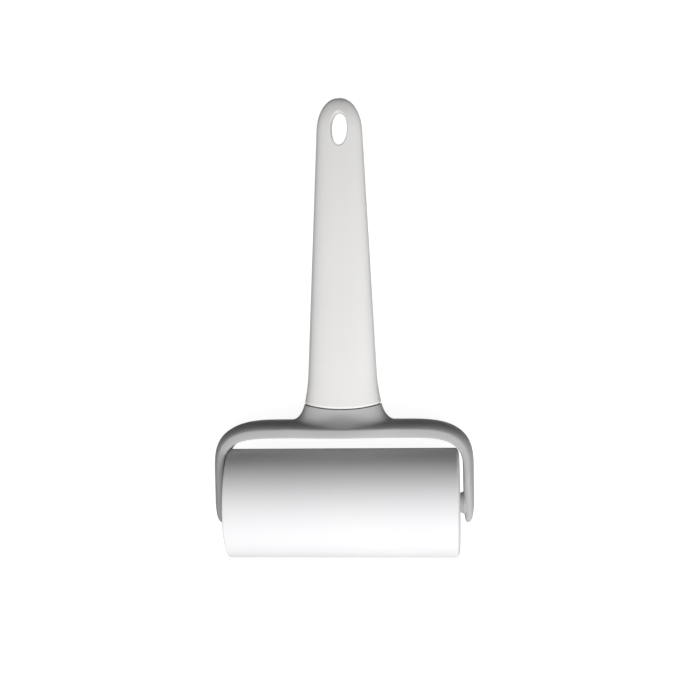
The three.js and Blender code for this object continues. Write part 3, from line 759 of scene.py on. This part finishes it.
def srgb(*levels):
    """Linear colour from sRGB levels of 0 to 255."""
    return (*Color([level / FULL_LEVEL for level in levels]).from_srgb_to_scene_linear(), 1.0)


def new_material(name):
    """A material with a plain shader, and its nodes and links."""
    material = bpy.data.materials.new(name)
    material.use_nodes = True
    nodes, links = material.node_tree.nodes, material.node_tree.links
    nodes.clear()
    output = nodes.new("ShaderNodeOutputMaterial")
    shader = nodes.new("ShaderNodeBsdfPrincipled")
    links.new(shader.outputs["BSDF"], output.inputs["Surface"])
    return material, nodes, links, shader


def noise(nodes, links, coords, scale, detail):
    node = nodes.new("ShaderNodeTexNoise")
    node.inputs["Scale"].default_value = scale
    node.inputs["Detail"].default_value = detail
    links.new(coords, node.inputs["Vector"])
    return node.outputs["Fac"]


def ranged(nodes, links, source, low, high):
    """A noise spread out between a low and a high value."""
    node = nodes.new("ShaderNodeMapRange")
    node.inputs["From Min"].default_value, node.inputs["From Max"].default_value = NOISE_RANGE
    node.inputs["To Min"].default_value = low
    node.inputs["To Max"].default_value = high
    links.new(source, node.inputs["Value"])
    return node.outputs["Result"]


def moulded(name, light, shade, roughness, specular, grain, depth):
    """Moulded plastic: a faint flow of tone, uneven gloss and a fine grain."""
    material, nodes, links, shader = new_material(name)
    coords = nodes.new("ShaderNodeTexCoord").outputs["Object"]
    ramp = nodes.new("ShaderNodeValToRGB")
    for element, position, color in zip(ramp.color_ramp.elements, NOISE_RANGE, (shade, light)):
        element.position = position
        element.color = color
    links.new(noise(nodes, links, coords, *TONE_NOISE), ramp.inputs["Fac"])
    links.new(ramp.outputs["Color"], shader.inputs["Base Color"])
    gloss = noise(nodes, links, coords, *GLOSS_NOISE)
    gloss = ranged(nodes, links, gloss, roughness - GLOSS_SPREAD, roughness + GLOSS_SPREAD)
    links.new(gloss, shader.inputs["Roughness"])
    bump = nodes.new("ShaderNodeBump")
    bump.inputs["Strength"].default_value = depth
    bump.inputs["Distance"].default_value = GRAIN_DISTANCE
    links.new(noise(nodes, links, coords, grain, GRAIN_DETAIL), bump.inputs["Height"])
    links.new(bump.outputs["Normal"], shader.inputs["Normal"])
    shader.inputs["Specular IOR Level"].default_value = specular
    return material


def drawn_steel(name, light, shade):
    """Bright steel with fine lines along the axle."""
    material, nodes, links, shader = new_material(name)
    coords = nodes.new("ShaderNodeTexCoord").outputs["Object"]
    stretch = nodes.new("ShaderNodeMapping")
    stretch.inputs["Scale"].default_value = LINE_STRETCH
    links.new(coords, stretch.inputs["Vector"])
    lines = noise(nodes, links, stretch.outputs["Vector"], *LINE_NOISE)
    ramp = nodes.new("ShaderNodeValToRGB")
    ramp.color_ramp.elements[0].color = shade
    ramp.color_ramp.elements[1].color = light
    links.new(lines, ramp.inputs["Fac"])
    links.new(ramp.outputs["Color"], shader.inputs["Base Color"])
    links.new(ranged(nodes, links, lines, *STEEL_ROUGHNESS), shader.inputs["Roughness"])
    shader.inputs["Metallic"].default_value = 1.0
    return material


def seen_directly(nodes, links):
    """1 for what the camera, a reflection or a transparent piece sees, and 0 for diffuse light."""
    path = nodes.new("ShaderNodeLightPath")
    seen = path.outputs["Is Camera Ray"]
    for ray in ("Is Glossy Ray", "Is Transmission Ray"):
        either = nodes.new("ShaderNodeMath")
        either.operation = "MAXIMUM"
        links.new(seen, either.inputs[0])
        links.new(path.outputs[ray], either.inputs[1])
        seen = either.outputs[0]
    return seen


def build_floor():
    """A white table that keeps the tool's soft shadow and throws little light back at the tool."""
    half = FLOOR_HALF
    mesh = bpy.data.meshes.new("floor")
    corners = [(-half, -half, 0), (half, -half, 0), (half, half, 0), (-half, half, 0)]
    mesh.from_pydata(corners, [], [(0, 1, 2, 3)])
    floor = bpy.data.objects.new("floor", mesh)
    bpy.context.scene.collection.objects.link(floor)
    material = bpy.data.materials.new("floor_white")
    material.use_nodes = True
    nodes, links = material.node_tree.nodes, material.node_tree.links
    nodes.clear()
    seen = seen_directly(nodes, links)
    tone = nodes.new("ShaderNodeMapRange")
    tone.inputs["To Min"].default_value = FLOOR_BOUNCE
    tone.inputs["To Max"].default_value = FLOOR_WHITE
    links.new(seen, tone.inputs["Value"])
    diffuse = nodes.new("ShaderNodeBsdfDiffuse")
    links.new(tone.outputs["Result"], diffuse.inputs["Color"])
    strength = nodes.new("ShaderNodeMath")
    strength.operation = "MULTIPLY"
    strength.inputs[1].default_value = FLOOR_GLOW
    links.new(seen, strength.inputs[0])
    glow = nodes.new("ShaderNodeEmission")
    links.new(strength.outputs[0], glow.inputs["Strength"])
    both = nodes.new("ShaderNodeAddShader")
    links.new(diffuse.outputs[0], both.inputs[0])
    links.new(glow.outputs[0], both.inputs[1])
    output = nodes.new("ShaderNodeOutputMaterial")
    links.new(both.outputs[0], output.inputs["Surface"])
    mesh.materials.append(material)


def build_world():
    """White surroundings that give the tool only a little light."""
    world = bpy.data.worlds.new("studio")
    bpy.context.scene.world = world
    world.use_nodes = True
    nodes, links = world.node_tree.nodes, world.node_tree.links
    nodes.clear()
    strength = nodes.new("ShaderNodeMapRange")
    strength.inputs["To Min"].default_value = AMBIENT
    strength.inputs["To Max"].default_value = 1.0
    links.new(seen_directly(nodes, links), strength.inputs["Value"])
    background = nodes.new("ShaderNodeBackground")
    links.new(strength.outputs["Result"], background.inputs["Strength"])
    background.inputs["Color"].default_value = (1, 1, 1, 1)
    output = nodes.new("ShaderNodeOutputWorld")
    links.new(background.outputs[0], output.inputs["Surface"])


def build_lamp(name, direction, power):
    """A square soft box that faces the lamps' target from a direction of the tool's frame."""
    data = bpy.data.lights.new(name, "AREA")
    data.shape = "SQUARE"
    data.size = LAMP_SIZE
    data.energy = power
    lamp = bpy.data.objects.new(name, data)
    bpy.context.scene.collection.objects.link(lamp)
    away = TURN.to_3x3() @ Vector(direction).normalized()
    lamp.location = LAY @ Vector(LAMP_TARGET) + away * LAMP_DISTANCE
    lamp.rotation_mode = "QUATERNION"
    lamp.rotation_quaternion = (-away).to_track_quat("-Z", "Y")


def build_camera():
    """The photograph's viewpoint: above the tool, a little towards its right and its handle's end."""
    azimuth, elevation, roll = (math.radians(a) for a in (CAMERA_AZIMUTH, CAMERA_ELEVATION, CAMERA_ROLL))
    level = math.cos(elevation)
    back = Vector((math.sin(azimuth) * level, math.sin(elevation), math.cos(azimuth) * level))
    right = Vector((0, 1, 0)).cross(back).normalized()
    up = back.cross(right)
    across = math.cos(roll) * right + math.sin(roll) * up
    upward = -math.sin(roll) * right + math.cos(roll) * up
    turn = TURN.to_3x3()
    axes = Matrix([turn @ across, turn @ upward, turn @ back]).transposed()
    data = bpy.data.cameras.new("camera")
    data.sensor_width = CAMERA_SENSOR
    data.lens = CAMERA_SENSOR * CAMERA_FOCAL / PICTURE_WIDTH
    data.clip_start, data.clip_end = CAMERA_CLIP
    camera = bpy.data.objects.new("camera", data)
    bpy.context.scene.collection.objects.link(camera)
    place = LAY @ (Vector(CAMERA_TARGET) + CAMERA_DISTANCE * back)
    camera.matrix_world = Matrix.Translation(place) @ axes.to_4x4()
    bpy.context.scene.camera = camera


materials = {
    "handle_white": moulded(
        "handle_white", light=srgb(248, 247, 245), shade=srgb(245, 244, 242),
        roughness=0.5, specular=0.35, grain=2600, depth=0.12,
    ),
    "roller_white": moulded(
        "roller_white", light=srgb(245, 245, 246), shade=srgb(242, 242, 244),
        roughness=0.6, specular=0.0, grain=3200, depth=0.1,
    ),
    "yoke_grey": moulded(
        "yoke_grey", light=srgb(194, 194, 194), shade=srgb(190, 190, 191),
        roughness=0.5, specular=0.04, grain=3000, depth=0.12,
    ),
    "bearing_nylon": moulded(
        "bearing_nylon", light=srgb(230, 226, 214), shade=srgb(224, 219, 206),
        roughness=0.5, specular=0.4, grain=2200, depth=0.15,
    ),
    "steel": drawn_steel("steel", light=srgb(206, 208, 210), shade=srgb(176, 178, 180)),
}

# Each smooth piece, with the body it moves with, the node it stands for, its finish and its crease.
pieces = [
    (build_handle(), "frame", "handle", "handle_white", HANDLE_CREASE),
    (build_yoke(), "frame", "yoke", "yoke_grey", YOKE_CREASE),
    (build_axle(), "frame", "axle", "steel", TURNED_CREASE),
    (build_barrel(), "roller", "roller_barrel", "roller_white", TURNED_CREASE),
]
for word, side in (("right", 1), ("left", -1)):
    washer = build_washer(f"washer_{word}", side)
    cap = build_cap(f"cap_{word}", side)
    bush = build_bush(f"bush_{word}", side)
    pieces += [
        (washer, "frame", f"thrust_washer_{word}", "bearing_nylon", TURNED_CREASE),
        (cap, "roller", f"end_cap_{word}", "roller_white", TURNED_CREASE),
        (bush, "roller", f"bearing_bush_{word}", "bearing_nylon", TURNED_CREASE),
    ]
for piece, body, node, slot, crease in pieces:
    settle(piece, crease)
    piece.data.materials.clear()
    piece.data.materials.append(materials[slot])
    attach(piece, body)
    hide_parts(node)

# The screw keeps its solid from the frame.
screw = frame["nodes"]["handle_screw"]
screw.data.materials.clear()
screw.data.materials.append(materials["steel"])

build_floor()
build_world()
for name, (direction, power) in LAMPS.items():
    build_lamp(name, direction, power)
build_camera()
bpy.context.scene.view_settings.view_transform = "Standard"

bpy.context.view_layer.update()
